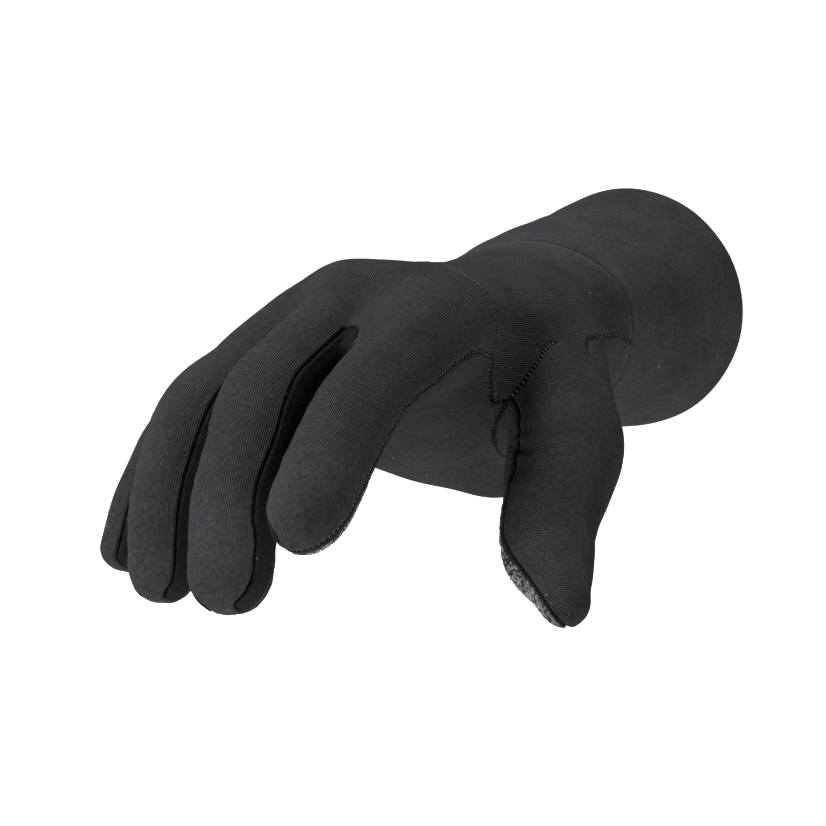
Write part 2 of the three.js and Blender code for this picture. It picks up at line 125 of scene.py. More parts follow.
# Sections along the arm and the hand: distance from the mouth, width, shift to the thumb, heights over and
# under the middle, arch, lean to the thumb's side, slant, fullness of the corners, and drop of the side seam
SECTION_COLUMNS = ("along", "width", "across", "back", "palm", "arch", "lean", "slant", "square", "drop")
OVAL = (0, 0, 0, 2, 0)
SECTIONS = [
    (-PAST_MOUTH, 1.005 * MOUTH_WIDTH, 1, 0.495 * MOUTH_DEPTH, 0.5 * MOUTH_DEPTH, *OVAL),
    (0, MOUTH_WIDTH, 1, 0.49 * MOUTH_DEPTH, 0.495 * MOUTH_DEPTH, *OVAL),
    (0.3 * GAUNTLET_LENGTH, 0.94 * MOUTH_WIDTH, 0.8, 0.425 * MOUTH_DEPTH, 0.465 * MOUTH_DEPTH, *OVAL),
    (0.65 * GAUNTLET_LENGTH, 0.87 * MOUTH_WIDTH, 0.4, 0.383 * MOUTH_DEPTH, 0.41 * MOUTH_DEPTH, *OVAL),
    (GAUNTLET_LENGTH, GAUNTLET_SEAM_WIDTH, 0,
     0.455 * GAUNTLET_SEAM_DEPTH, 0.52 * GAUNTLET_SEAM_DEPTH, *OVAL),
    (ARM_LENGTH - 0.3 * YOKE_LENGTH, WRIST_WIDTH, 0, 0.47 * WRIST_DEPTH, 0.56 * WRIST_DEPTH, *OVAL),
    (ARM_LENGTH + 0.12 * PALM_LENGTH, 1.03 * WRIST_WIDTH, 0,
     0.42 * WRIST_DEPTH, 0.84 * WRIST_DEPTH, 0, 0, 0.01 * PALM_LENGTH, 2.1, 0),
]
# Sections of the hand, with the same columns as shares of the palm's and the knuckles' sizes
HAND_SECTIONS = [
    (0.3, 0.8, -0.005, 0.55, 1.42, 0.3, 0, 0.02, 2.2, 0),
    (0.55, 0.92, -0.02, 0.52, 1.3, 0.85, 0.03, 0.04, 2.3, 0),
    (0.78, 0.95, -0.035, 0.51, 0.95, 1, 0.16, 0.06, 2.4, 0),
    (0.92, 0.95, -0.035, 0.46, 0.72, 1, 0.2, 0.07, 2.5, 0),
    (1.04, 0.92, -0.035, 0.32, 0.55, 0.2, 0.16, 0.08, 2.6, 0),
    (1.167, 0.9, -0.035, 0.2, 0.35, -0.4, 0.13, 0.09, 2.6, 0.08),
    (1.209, 0.84, -0.035, 0.12, 0.15, -0.7, 0.13, 0.09, 2.6, 0.12),
]
for at, width, across, back, palm, arch, lean, slant, square, drop in HAND_SECTIONS:
    SECTIONS.append((
        ARM_LENGTH + at * PALM_LENGTH, width * KNUCKLE_WIDTH, across * KNUCKLE_WIDTH, back * KNUCKLE_DEPTH,
        palm * KNUCKLE_DEPTH, arch * KNUCKLE_ARCH, lean * KNUCKLE_DEPTH, slant * PALM_LENGTH, square,
        drop * KNUCKLE_DEPTH,
    ))
WEB_END = SECTIONS[-1][0]


def smooth_curve(x, y, at):
    """A smooth curve through the points x, y that never overshoots them, read at the places at."""
    x, y = np.asarray(x, float), np.asarray(y, float)
    step = np.diff(x)
    slope = np.diff(y) / step
    tangent = np.zeros_like(y)
    both = slope[:-1] * slope[1:] > 0
    tangent[1:-1][both] = 2 / (1 / slope[:-1][both] + 1 / slope[1:][both])
    tangent[0], tangent[-1] = slope[0], slope[-1]
    at = np.clip(at, x[0], x[-1])
    i = np.clip(np.searchsorted(x, at) - 1, 0, len(x) - 2)
    t = (at - x[i]) / step[i]
    return (
        y[i] * (1 + 2 * t) * (1 - t) ** 2
        + tangent[i] * step[i] * t * (1 - t) ** 2
        + y[i + 1] * t * t * (3 - 2 * t)
        + tangent[i + 1] * step[i] * t * t * (t - 1)
    )


SECTION_ARRAY = np.array(SECTIONS, float)
SECTION_AT = np.arange(-PAST_MOUTH, WEB_END + 1, 0.5)
SECTION_CURVES = {
    name: smooth_curve(SECTION_ARRAY[:, 0], SECTION_ARRAY[:, i], SECTION_AT)
    for i, name in enumerate(SECTION_COLUMNS)
    if i
}


def section(name, along):
    return np.interp(along, SECTION_AT, SECTION_CURVES[name])


def share_in_hand(along):
    """0 on the arm and 1 on the hand, by the distance along from the mouth."""
    return smoothstep(along, GAUNTLET_LENGTH - 4, ARM_LENGTH - 6)


def body_field(p):
    """Distance outside the arm and hand at points p, with their place across, along and up, and the share
    of the half width across."""
    arm_along = -p[:, 1]
    q = p - HAND_ORIGIN
    in_hand = share_in_hand(arm_along)
    x = p[:, 0] + (q @ HAND_SIDE - p[:, 0]) * in_hand
    along = arm_along + (q @ HAND_FORWARD + ARM_LENGTH - arm_along) * in_hand
    z = p[:, 2] + (q @ HAND_BACK - p[:, 2]) * in_hand
    half = section("width", along) / 2
    share = np.clip((x - section("across", along)) / half, -1.1, 1.1)
    row = along - section("slant", along) * share
    half = section("width", row) / 2
    offset = x - section("across", row)
    share = offset / half
    height = z - section("lean", row) * share - section("arch", row) * (1 - share * share)
    reach = np.where(height > 0, section("back", row), section("palm", row))
    square = section("square", row)
    rho = (np.abs(share) ** square + np.abs(height / reach) ** square + 1e-12) ** (1 / square)
    distance = (rho - 1) * np.hypot(offset, height) / np.maximum(rho, 0.05)
    return soft_max(distance, row - WEB_END, END_BLEND), x, row, z, share


# The digits: across, ahead and rise place the knuckle, spread turns the finger to the thumb's side, bends
# are the bends at its three joints in degrees, and widths are shares of its width from the base to the tip.
JOINT_SPREAD = 17
DIGIT_ROOT = 14
ROOT_TAPER = 0.7
TIP_ROUND = 1.05
TIP_BLUNTNESS = 0.85
DIGIT_FLATNESS = 0.94
POINTS_AT_ONCE = 40000
FINGER_JOINTS = (0, 0.462, 0.736)
THUMB_JOINTS = (0, 0.416, 0.724)
FINGER_WIDTHS = (1.06, 1, 0.91, 0.85)
FINGERS = [
    dict(name="index", length=92, width=21.2, across=0.343, ahead=0.967, rise=0.7, spread=2,
         widths=(1.15, 1, 0.96, 0.92), bends=(16.5, 18, 4), tip_round=1.5),
    dict(name="middle", length=102.5, width=21.6, across=0.07, ahead=1, rise=1.75, spread=3,
         widths=(0.98, 1, 0.95, 0.9), bends=(18.4, 31.8, 20.6), tip_round=TIP_ROUND),
    dict(name="ring", length=92.5, width=20.4, across=-0.155, ahead=0.934, rise=0.7, spread=-6.5,
         widths=FINGER_WIDTHS, bends=(17.1, 36.8, 25.1), tip_round=TIP_ROUND),
    dict(name="little", length=73, width=15.8, across=-0.37, ahead=0.835, rise=-0.6, spread=-13.4,
         widths=FINGER_WIDTHS, bends=(23, 22.8, 16.6), tip_round=0.8),
]
THUMB = dict(
    name="thumb", length=116.5, width=28, widths=(1.35, 1.1, 0.86, 0.41), bends=(2, 23.5, -24.5),
    tip_round=TIP_ROUND,
)
THUMB_AWAY, THUMB_DOWN, THUMB_TURN = 37, 25, -36.3   # degrees from the fingers, to the palm, about itself


class Digit:
    """A bent tube with a round tip, with its centre line kept as a row of frames."""

    def __init__(self, name, length, width, widths, bends, tip_round, joints, origin, side, forward, back):
        self.name, self.length, self.width, self.tip_round = name, length, width, tip_round
        self.widths, self.joints = widths, joints
        self.s = np.arange(-DIGIT_ROOT, length + 4, 1.0)
        bend = np.zeros_like(self.s)
        for joint, angle in zip(joints, bends):
            start = joint * length - JOINT_SPREAD / 2
            bend += angle * smoothstep(self.s, start, start + JOINT_SPREAD)
        c, s = np.cos(np.radians(bend))[:, None], np.sin(np.radians(bend))[:, None]
        self.forward = forward * c - back * s
        self.back = back * c + forward * s
        self.side = side
        steps = np.vstack([np.zeros(3), self.forward[:-1]])
        self.origin = origin - forward * DIGIT_ROOT + np.cumsum(steps, axis=0)
        self.low = self.origin.min(0) - width
        self.high = self.origin.max(0) + width

    def radius(self, s):
        stops = np.array([*self.joints, 1]) * self.length
        i = np.clip(np.searchsorted(stops, s) - 1, 0, len(stops) - 2)
        share = np.clip((s - stops[i]) / (stops[i + 1] - stops[i]), 0, 1)
        share = share * share * (3 - 2 * share)
        widths = np.array(self.widths)
        rooted = 1 + (ROOT_TAPER - 1) * np.clip(-s / DIGIT_ROOT, 0, 1)
        return self.width / 2 * (widths[i] + (widths[i + 1] - widths[i]) * share) * rooted

    def place(self, p):
        """For points p: the distance along, to the side and to the back, the radius there, and the distance
        outside the tube. Points far from the digit get a large distance."""
        out = np.full((5, len(p)), 2 * FAR)
        near = np.flatnonzero(((p > self.low) & (p < self.high)).all(1))
        for part in np.array_split(near, max(1, len(near) // POINTS_AT_ONCE)):
            if not len(part):
                continue
            q = p[part]
            squared = (q * q).sum(1)[:, None] - 2 * q @ self.origin.T + (self.origin ** 2).sum(1)
            i = squared.argmin(1)
            away = q - self.origin[i]
            s = self.s[i] + (away * self.forward[i]).sum(1)
            side = away @ self.side
            back = (away * self.back[i]).sum(1)
            radius = self.radius(s)
            rho = np.hypot(side, back / DIGIT_FLATNESS)
            round_from = self.length - self.tip_round * self.radius(np.array([self.length]))[0]
            ahead = np.clip((s - round_from) / (self.length - round_from), 0, None)
            power = 2 / TIP_BLUNTNESS
            shape = ((rho / radius) ** power + ahead ** 2 + 1e-12) ** (1 / power)
            distance = soft_max((shape - 1) * radius, -s - DIGIT_ROOT, END_BLEND)
            out[:, part] = s, side, back, radius, distance
        return out


def hand_point(side, forward, back):
    return HAND_ORIGIN + side * HAND_SIDE + forward * HAND_FORWARD + back * HAND_BACK


def make_digits():
    axes = np.stack([HAND_SIDE, HAND_FORWARD, HAND_BACK], 1)
    digits = []
    for row in FINGERS:
        row = dict(row)
        about = turn(2, -row.pop("spread"))
        origin = hand_point(
            row.pop("across") * KNUCKLE_WIDTH, row.pop("ahead") * PALM_LENGTH, row.pop("rise") * KNUCKLE_ARCH
        )
        side, forward, back = (axes @ about @ np.eye(3)[i] for i in range(3))
        digits.append(Digit(
            joints=FINGER_JOINTS, origin=origin, side=side, forward=forward, back=back, **row
        ))
    about = turn(2, -THUMB_AWAY) @ turn(0, -THUMB_DOWN) @ turn(1, THUMB_TURN)
    side, forward, back = (axes @ about @ np.array(v) for v in ([0, 0, -1], [0, 1, 0], [1, 0, 0]))
    origin = hand_point(0.33 * WRIST_WIDTH, 0.22 * PALM_LENGTH, -0.17 * WRIST_DEPTH)
    digits.append(Digit(joints=THUMB_JOINTS, origin=origin, side=side, forward=forward, back=back, **THUMB))
    return digits


# Soft fullnesses of the cloth: place to the side, forward and back, height, and size
BUMPS = [
    (0, 86, 19, 2.5, 12),       # middle knuckle
    (12, 30, -38, 8.5, 13),     # ball of the thumb
    (-12, 32, -39, 1.5, 12),
    (20, 12, -32, 2, 12),
]

# Creases at the root of the thumb and the fold of the palm: from, to (side, forward, back), depth and width
CREASES = [
    ((38, 73, -27.5), (50, 78.5, -29), 1.7, 1.7),
    ((36, 69, -26), (46, 73, -23.5), 0.9, 1.5),
    ((42, 79, -32), (53, 83, -32), 1.2, 3.2),
    ((11, 72.5, -22.5), (27, 77.5, -15), -0.9, 3.5),
]

DIGITS = make_digits()
INDEX, THUMB_DIGIT = DIGITS[0], DIGITS[4]

random = np.random.default_rng(7)
# Slow unevenness of the cloth: a direction, a wavelength and a height for each wave
WAVE_SIZES = ((41, 0.14), (29, 0.1), (23, 0.08), (17, 0.05), (13, 0.04), (9.5, 0.025))
WAVES = [(unit(random.normal(size=3)), size, height) for size, height in WAVE_SIZES]


def measure(p):
    """Everything the seams and the surface need at points p."""
    distance, x, along, z, share = body_field(p)
    places = [digit.place(p) for digit in DIGITS]
    return dict(body=distance, x=x, along=along, z=z, share=share, places=places)


def cloth_field(p):
    """Distance outside the glove's surface at points p."""
    m = measure(p)
    raw = [place[4] for place in m["places"]]
    gap = FINGER_GAP / 2 - 9 * (1 - smoothstep(m["along"], WEB_END - 9, WEB_END + 2))
    parted = list(raw)
    for i in range(3):
        for a, b in ((i, i + 1), (i + 1, i)):
            parted[a] = soft_max(parted[a], (raw[a] - raw[b]) / 2 + gap, 1.2)
    web = WEB_FILL * (1 - smoothstep(m["along"], WEB_END - 24, WEB_END - 2))
    fingers = parted[0]
    for other in parted[1:4]:
        fingers = soft_min(fingers, other, 0.8 + web)
    field = soft_min(m["body"], fingers, BODY_BLEND + web)
    field = soft_min(field, raw[4], THUMB_BLEND)
    wave = 0.0
    for side, forward, back, height, size in BUMPS:
        away = p - hand_point(side, forward, back)
        wave = wave - height * np.exp(-(away ** 2).sum(1) / size ** 2)
    for start, end, depth, size in CREASES:
        start, end = hand_point(*start), hand_point(*end)
        line = end - start
        share = np.clip((p - start) @ line / (line @ line), 0, 1)
        away = p - start - share[:, None] * line
        wave = wave + depth * np.exp(-(away ** 2).sum(1) / size ** 2)
    for direction, size, height in WAVES:
        wave = wave + height * np.sin(p @ direction * (2 * math.pi / size) + size)
    return field + wave


# From the field to a surface
def surface_net(values, origin, step):
    """Points and faces of the zero surface of a field on a grid: one point in each cell that it crosses."""
    inside = values < 0
    shape = np.array(values.shape) - 1
    count = np.zeros(shape, np.int8)
    for d in itertools.product((0, 1), repeat=3):
        count += inside[d[0]:shape[0] + d[0], d[1]:shape[1] + d[1], d[2]:shape[2] + d[2]]
    active = (count > 0) & (count < 8)
    cells = np.argwhere(active)
    number = np.full(shape, -1)
    number[active] = np.arange(len(cells))
    total, hits = np.zeros((len(cells), 3)), np.zeros(len(cells))
    quads = []
    for axis in range(3):
        along = np.eye(3, dtype=int)[axis]
        u, v = np.eye(3, dtype=int)[(axis + 1) % 3], np.eye(3, dtype=int)[(axis + 2) % 3]
        for i, j in itertools.product((0, 1), repeat=2):
            start = cells + i * u + j * v
            a = values[tuple(start.T)]
            b = values[tuple((start + along).T)]
            crossed = (a < 0) != (b < 0)
            share = a[crossed] / (a[crossed] - b[crossed])
            total[crossed] += start[crossed] + share[:, None] * along
            hits[crossed] += 1
        ends = [slice(None)] * 3
        starts = [slice(None)] * 3
        ends[axis], starts[axis] = slice(1, None), slice(None, -1)
        first, last = inside[tuple(starts)], inside[tuple(ends)]
        edge = np.argwhere(first != last)
        keep = (edge @ u >= 1) & (edge @ v >= 1) & (edge @ u < shape @ u) & (edge @ v < shape @ v)
        edge = edge[keep]
        quad = np.stack([number[tuple((edge - w).T)] for w in (u + v, v, 0 * u, u)], 1)
        flip = ~first[tuple(edge.T)]
        quad[flip] = quad[flip][:, ::-1]
        quads.append(quad)
    points = np.array(origin) + step * total / hits[:, None]
    quads = np.concatenate(quads)
    a, b, c, d = (points[quads[:, i]] for i in range(4))
    short = np.linalg.norm(a - c, axis=1) < np.linalg.norm(b - d, axis=1)
    faces = np.concatenate([
        quads[short][:, [0, 1, 2]], quads[short][:, [0, 2, 3]],
        quads[~short][:, [1, 2, 3]], quads[~short][:, [1, 3, 0]],
    ])
    return points, faces


def gradient(p):
    """Value and gradient of the cloth's field."""
    value = cloth_field(p)
    step = 0.05
    slopes = [(cloth_field(p + step * axis) - value) / step for axis in np.eye(3)]
    return value, np.stack(slopes, 1)


def onto_surface(p, rounds):
    for _ in range(rounds):
        value, slope = gradient(p)
        move = slope * (value / np.maximum((slope ** 2).sum(1), 0.2))[:, None]
        size = np.linalg.norm(move, axis=1, keepdims=True)
        p = p - move * np.minimum(1, 0.8 / np.maximum(size, 1e-9))
    return p, unit(gradient(p)[1])


def directed_edges(faces):
    return np.concatenate([faces[:, [0, 1]], faces[:, [1, 2]], faces[:, [2, 0]]])


def edges_of(faces):
    """The edges of triangles, each once."""
    return np.unique(np.sort(directed_edges(faces), axis=1), axis=0)


def even_out(p, faces, normals, rounds):
    """Slides points along the surface to the middle of their neighbours."""
    edges = edges_of(faces)
    count = np.bincount(edges.ravel(), minlength=len(p))[:, None]
    for _ in range(rounds):
        total = np.zeros_like(p)
        for i in range(3):
            total[:, i] = (
                np.bincount(edges[:, 0], p[edges[:, 1], i], len(p))
                + np.bincount(edges[:, 1], p[edges[:, 0], i], len(p))
            )
        move = total / count - p
        move -= normals * (move * normals).sum(1, keepdims=True)
        p = p + 0.5 * move
    return p


GRID_ROOM = 4         # how far the grid reaches past the frame's box


def glove_surface():
    """The glove's outer surface as points and triangles, running on a little past the mouth."""
    box_low, box_high = (np.array(v) / MM for v in cad_bounds)
    low, high = box_low - GRID_ROOM, box_high + GRID_ROOM
    high[1] = PAST_MOUTH - 0.6
    axes = [np.arange(low[i], high[i] + GRID, GRID) for i in range(3)]
    shape = tuple(len(a) for a in axes)
    values = np.empty(shape)
    for i, x in enumerate(axes[0]):
        y, z = np.meshgrid(axes[1], axes[2], indexing="ij")
        slab = np.stack([np.full(y.size, x), y.ravel(), z.ravel()], 1)
        values[i] = cloth_field(slab).reshape(shape[1:])
    p, faces = surface_net(values, low, GRID)
    p, normals = onto_surface(p, 2)
    p = even_out(p, faces, normals, 3)
    p, normals = onto_surface(p, 2)
    return p, faces


# Seams: each is a field that is negative on one side
CUFF_OVERLAP = 7.5    # how far the gauntlet laps over the yoke
CUFF_SEAM_TURN = math.radians(35)   # where the gauntlet's closing seam lies round the arm
SIDE_SEAM = 0.3       # how far under a finger's middle its side seam runs, as a share of its radius
SIDE_SEAM_DROP = 8
THUMB_SEAM = 27       # where the thumb's own cloth begins along it
THUMB_ROOM = 3        # how far that cloth reaches past the thumb onto the hand
# The forked strips between the fingers, from the index finger's on
FORKS = ("fork_im", "fork_mr", "fork_rl")
FORK_START, FORK_END = 12, -3   # a forked strip's start, and how far before the tip it ends
# How high on each finger's side its strip reaches, as a share of the radius
FORK_BACK_EDGES = {"index": 0.3, "middle": 0.42, "ring": 0.5, "little": 0.8}
# The thumb's side of the side seam: distance forward from the wrist, and height
THUMB_SIDE_SEAM = [
    (-60, -1), (-30, -3.5), (-14, -6.5), (10, -6), (28, -5), (44, -14), (55, -16.5), (63, -17), (67, -12),
    (73, -4.6), (88, -3.4), (120, -5),
]
# The seam over the back of the hand: distance to the thumb's side, and forward
BACK_SEAM = [(-60, 26), (-28, 36), (-10, 45), (12, 59), (27, 69), (36, 73.5), (60, 77)]
PALM_SEAM_AT = 0.04 * PALM_LENGTH
THUMB_SEAM_FADE = 42   # nearer the wrist than this the thumb's seam lies flat
THUMB_SEAM_UNDER = -30   # and above this height


def fork_half(place, digit, side):
    """The part of a forked strip that lies on one side of a finger."""
    s, x, back, radius, _ = place
    length = digit.length
    taper = 1 - smoothstep(s, length - 30, length - 4)
    across = np.abs(side * x - 0.86 * radius) - 0.5 * radius
    up = np.maximum(back - FORK_BACK_EDGES[digit.name] * radius, -(0.1 + 0.64 * taper) * radius - back)
    ends = np.maximum(FORK_START - s, s - (length - FORK_END))
    return soft_max(soft_max(across, up, 2), ends, 3)


def seam_fields(p):
    """The value of each seam's field at points p."""
    m = measure(p)
    s, _, back, radius, raw = m["places"][4]
    forward = m["along"] - ARM_LENGTH
    fields = {
        "mouth": -p[:, 1],
        "gauntlet": (
            -p[:, 1] - GAUNTLET_LENGTH - CUFF_OVERLAP - p[:, 2] * math.tan(GAUNTLET_TILT)
        ) * math.cos(GAUNTLET_TILT),
        "thumb": soft_max(raw - THUMB_ROOM, THUMB_SEAM - s, 6),
        "pad": back + (0.22 + 0.3 * smoothstep(s, 55, 95)) * radius,
    }
    for i, name in enumerate(FORKS):
        first, second = m["places"][i], m["places"][i + 1]
        fields[name] = soft_min(
            fork_half(first, DIGITS[i], -1), fork_half(second, DIGITS[i + 1], 1), 3
        )
    stack = np.stack(m["places"][:4])
    raws = stack[:, 4]
    nearest = raws.argmin(0)
    near_s, _, near_back, near_radius, _ = stack[nearest, :, np.arange(len(p))].T
    on_finger = smoothstep(near_s, -4, 14) * (raws.min(0) < 20)
    little_height = -section("lean", m["along"]) - SIDE_SEAM_DROP - section("drop", m["along"])
    thumb_height = smooth_curve(*np.array(THUMB_SIDE_SEAM, float).T, forward)
    height = little_height + (thumb_height - little_height) * smoothstep(m["share"], -0.8, 0.8)
    body_under = m["z"] - height
    fields["palm"] = body_under + (near_back + SIDE_SEAM * near_radius - body_under) * on_finger
    fields["back_front"] = smooth_curve(*np.array(BACK_SEAM, float).T, m["x"]) - forward
    fields["palm_front"] = PALM_SEAM_AT - forward
    fields["cuff"] = p[:, 0] * math.sin(CUFF_SEAM_TURN) - p[:, 2] * math.cos(CUFF_SEAM_TURN)
    fields["along"] = m["along"]
    return fields


SNAP = 0.1   # a point this close to a cut is taken to lie on it


def cut(p, faces, data, name, level):
    """Divides the triangles where the field name has the value level."""
    f = data[name] - level
    f[np.abs(f) < SNAP] = 0
    sign = np.sign(f).astype(int)[faces]
    corner = np.arange(3)
    lone = (sign.sum(1) != 0) & (np.abs(sign).sum(1) == 3) & (np.abs(sign.sum(1)) == 1)
    split = (np.abs(sign).sum(1) == 2) & (sign.sum(1) == 0)
    kept = faces[~(lone | split)]

    def rolled(rows, first):
        order = (first[:, None] + corner) % 3
        return np.take_along_axis(rows, order, 1)

    a3 = rolled(faces[lone], (sign[lone] == -sign[lone].sum(1)[:, None]).argmax(1))
    a2 = rolled(faces[split], (sign[split] == 0).argmax(1))
    crossing = np.concatenate([a3[:, [0, 1]], a3[:, [0, 2]], a2[:, [1, 2]]])
    if not len(crossing):
        return p, faces, data
    pairs, where = np.unique(np.sort(crossing, axis=1), axis=0, return_inverse=True)
    where = where.ravel() + len(p)
    share = f[pairs[:, 0]] / (f[pairs[:, 0]] - f[pairs[:, 1]])
    p = np.concatenate([p, p[pairs[:, 0]] + share[:, None] * (p[pairs[:, 1]] - p[pairs[:, 0]])])
    data = {
        key: np.concatenate([v, v[pairs[:, 0]] + share * (v[pairs[:, 1]] - v[pairs[:, 0]])])
        for key, v in data.items()
    }
    ab, ac, bc = where[:len(a3)], where[len(a3):2 * len(a3)], where[2 * len(a3):]
    faces = np.concatenate([
        kept,
        np.stack([a3[:, 0], ab, ac], 1), np.stack([ab, a3[:, 1], a3[:, 2]], 1),
        np.stack([ab, a3[:, 2], ac], 1),
        np.stack([a2[:, 0], a2[:, 1], bc], 1), np.stack([a2[:, 0], bc, a2[:, 2]], 1),
    ])
    return p, faces, data


# The panels: the name, and the seams that bound it
PANELS = {
    "thumb_back": ("thumb", "pad"),
    "thumb_palm": ("thumb", "pad"),
    "gauntlet": ("mouth", "gauntlet", "cuff"),
    "fourchette_index_middle": ("fork_im",),
    "fourchette_middle_ring": ("fork_mr",),
    "fourchette_ring_little": ("fork_rl",),
    "back_panel": ("thumb", *FORKS, "palm", "back_front"),
    "wrist_back": ("thumb", "gauntlet", "palm", "back_front"),
    "palm_panel": ("thumb", *FORKS, "palm", "palm_front"),
    "wrist_palm": ("thumb", "gauntlet", "palm", "palm_front"),
}
PANEL_NAMES = list(PANELS)
SEAM_FIELDS = ("thumb", "pad", "gauntlet", *FORKS, "palm", "back_front", "palm_front", "cuff")
# The lines beside a seam where the surface is divided again, for its groove
GROOVED_FIELDS = ("thumb", "gauntlet", *FORKS, "palm", "pad", "back_front")
GROOVE_LEVELS = (-0.35, 0.35, -0.8, 0.8, -1.5, 1.5, -2.4, 2.4)


def panel_of(data, faces):
    """The panel of each triangle."""
    middle = {key: v[faces].mean(1) for key, v in data.items()}
    number = np.full(len(faces), PANEL_NAMES.index("back_panel"))
    number[middle["back_front"] > 0] = PANEL_NAMES.index("wrist_back")
    under = middle["palm"] < 0
    number[under] = PANEL_NAMES.index("palm_panel")
    number[under & (middle["palm_front"] > 0)] = PANEL_NAMES.index("wrist_palm")
    for field, name in (
        ("fork_rl", "fourchette_ring_little"), ("fork_mr", "fourchette_middle_ring"),
        ("fork_im", "fourchette_index_middle"), ("gauntlet", "gauntlet"),
    ):
        number[middle[field] < 0] = PANEL_NAMES.index(name)
    on_thumb = middle["thumb"] < 0
    number[on_thumb] = PANEL_NAMES.index("thumb_back")
    number[on_thumb & (middle["pad"] < 0)] = PANEL_NAMES.index("thumb_palm")
    return number


def slope_size(p, faces, values):
    """How fast a field changes along the surface, at each point."""
    a, b, c = p[faces[:, 0]], p[faces[:, 1]], p[faces[:, 2]]
    normal = np.cross(b - a, c - a)
    area = np.maximum((normal ** 2).sum(1), 1e-6)[:, None]
    f = values[faces]
    g = (
        np.cross(normal, c - b) * f[:, :1] + np.cross(normal, a - c) * f[:, 1:2]
        + np.cross(normal, b - a) * f[:, 2:]
    ) / area
    size, weight = np.linalg.norm(g, axis=1), np.sqrt(area[:, 0])
    total = sum(np.bincount(faces[:, i], size * weight, len(p)) for i in range(3))
    return total / np.maximum(sum(np.bincount(faces[:, i], weight, len(p)) for i in range(3)), 1e-9)


FLATTEN_ROUNDS = 1600
FLATTEN_LEAST = 1e-9   # the misfit for each point at which the solution is good enough


def flatten(p, faces, direction):
    """A coordinate on a panel that grows by 1 a millimetre along the direction given at each point."""
    edges = edges_of(faces)
    i, j = edges.T
    step = ((direction[i] + direction[j]) / 2 * (p[j] - p[i])).sum(1)
    n = len(p)
    right = np.bincount(j, step, n) - np.bincount(i, step, n)
    degree = np.bincount(edges.ravel(), minlength=n).astype(float)
    degree[degree == 0] = 1

    def spread(x):
        difference = x[j] - x[i]
        return np.bincount(j, difference, n) - np.bincount(i, difference, n)

    x = (p * direction.mean(0)).sum(1)
    residual = right - spread(x)
    z = residual / degree
    search, energy = z.copy(), (residual * z).sum()
    for _ in range(FLATTEN_ROUNDS):
        moved = spread(search)
        rate = energy / max((search * moved).sum(), 1e-12)
        x = x + rate * search
        residual = residual - rate * moved
        z = residual / degree
        fresh = (residual * z).sum()
        if fresh < FLATTEN_LEAST * n:
            break
        search = z + fresh / energy * search
        energy = fresh
    return x


RIB_TILT = 0.22       # how far the ribs on the thumb's back run off square, in radians


def knit_direction(p, normals, name):
    """The direction of the ribs at the points of a panel."""
    m = measure(p)
    in_hand = share_in_hand(m["along"])[:, None]
    direction = ARM_FORWARD + (HAND_FORWARD - ARM_FORWARD) * in_hand
    for digit, place in zip(DIGITS, m["places"]):
        if digit is THUMB_DIGIT and not name.startswith("thumb"):
            continue
        index = np.clip(np.round(place[0] + DIGIT_ROOT).astype(int), 0, len(digit.s) - 1)
        weight = smoothstep(place[0], -16, 20) * np.exp(-np.clip(place[4], 0, None) / 3)
        direction = direction + 6 * weight[:, None] ** 2 * digit.forward[index]
    direction = unit(direction)
    if name == "thumb_back":
        across = np.cross(normals, direction)
        direction = math.cos(RIB_TILT) * across + math.sin(RIB_TILT) * direction
    direction = direction - normals * (direction * normals).sum(1, keepdims=True)
    return unit(direction)


# Meshes
def add_mesh(name, points, faces, material):
    """A smooth-shaded object from points in millimetres and faces that all have as many corners."""
    mesh = bpy.data.meshes.new(name)
    mesh.vertices.add(len(points))
    mesh.vertices.foreach_set("co", (np.asarray(points) * MM).ravel())
    faces = np.asarray(faces)
    mesh.loops.add(faces.size)
    mesh.loops.foreach_set("vertex_index", faces.ravel())
    mesh.polygons.add(len(faces))
    mesh.polygons.foreach_set("loop_start", np.arange(len(faces)) * faces.shape[1])
    mesh.polygons.foreach_set("use_smooth", np.full(len(faces), True))
    mesh.update(calc_edges=True)
    mesh.materials.append(material)
    piece = bpy.data.objects.new(name, mesh)
    bpy.context.scene.collection.objects.link(piece)
    return piece


def set_sharp(mesh, pairs):
    """Marks the edges between the given pairs of points as sharp."""
    ends = np.zeros(len(mesh.edges) * 2, int)
    mesh.edges.foreach_get("vertices", ends)
    ends = np.sort(ends.reshape(-1, 2), axis=1)
    size = len(mesh.vertices)
    wanted = np.sort(pairs, axis=1)
    sharp = np.isin(ends[:, 0] * size + ends[:, 1], wanted[:, 0] * size + wanted[:, 1])
    mesh.attributes.new("sharp_edge", "BOOLEAN", "EDGE").data.foreach_set("value", sharp)


FINE_SEAM = 1.6       # how much narrower the grooves of the fingers' seams are
GROOVE_DEPTH, GROOVE_WIDTH = 0.85, 0.5
RIDGE_HEIGHT, RIDGE_AT, RIDGE_WIDTH = 0.16, 1.3, 0.8   # the cloth stands up beside the groove


def seam_distance(p, faces, data, name):
    """Distances along the surface to the nearest sewn seam of the panel, and to the edge of the gauntlet."""
    distance = np.full(len(p), FAR)
    edge = np.full(len(p), FAR)
    for seam in PANELS[name]:
        value = np.abs(data[seam]) / np.clip(slope_size(p, faces, data[seam]), 0.3, 3)
        if seam == "gauntlet":
            edge = value
            continue
        if seam == "mouth":
            continue
        if seam == "cuff":
            value = np.where(p[:, 0] < 0, value, FAR)
        if seam.startswith("fork"):
            value = FINE_SEAM * value
        if seam in ("thumb", "pad"):
            forward = data["along"] - ARM_LENGTH
            flat = 1 - smoothstep(forward, THUMB_SEAM_FADE - 4, THUMB_SEAM_FADE + 3)
            value = value + 3 * flat * (p[:, 2] > THUMB_SEAM_UNDER)
        distance = np.minimum(distance, value)
    return distance, edge


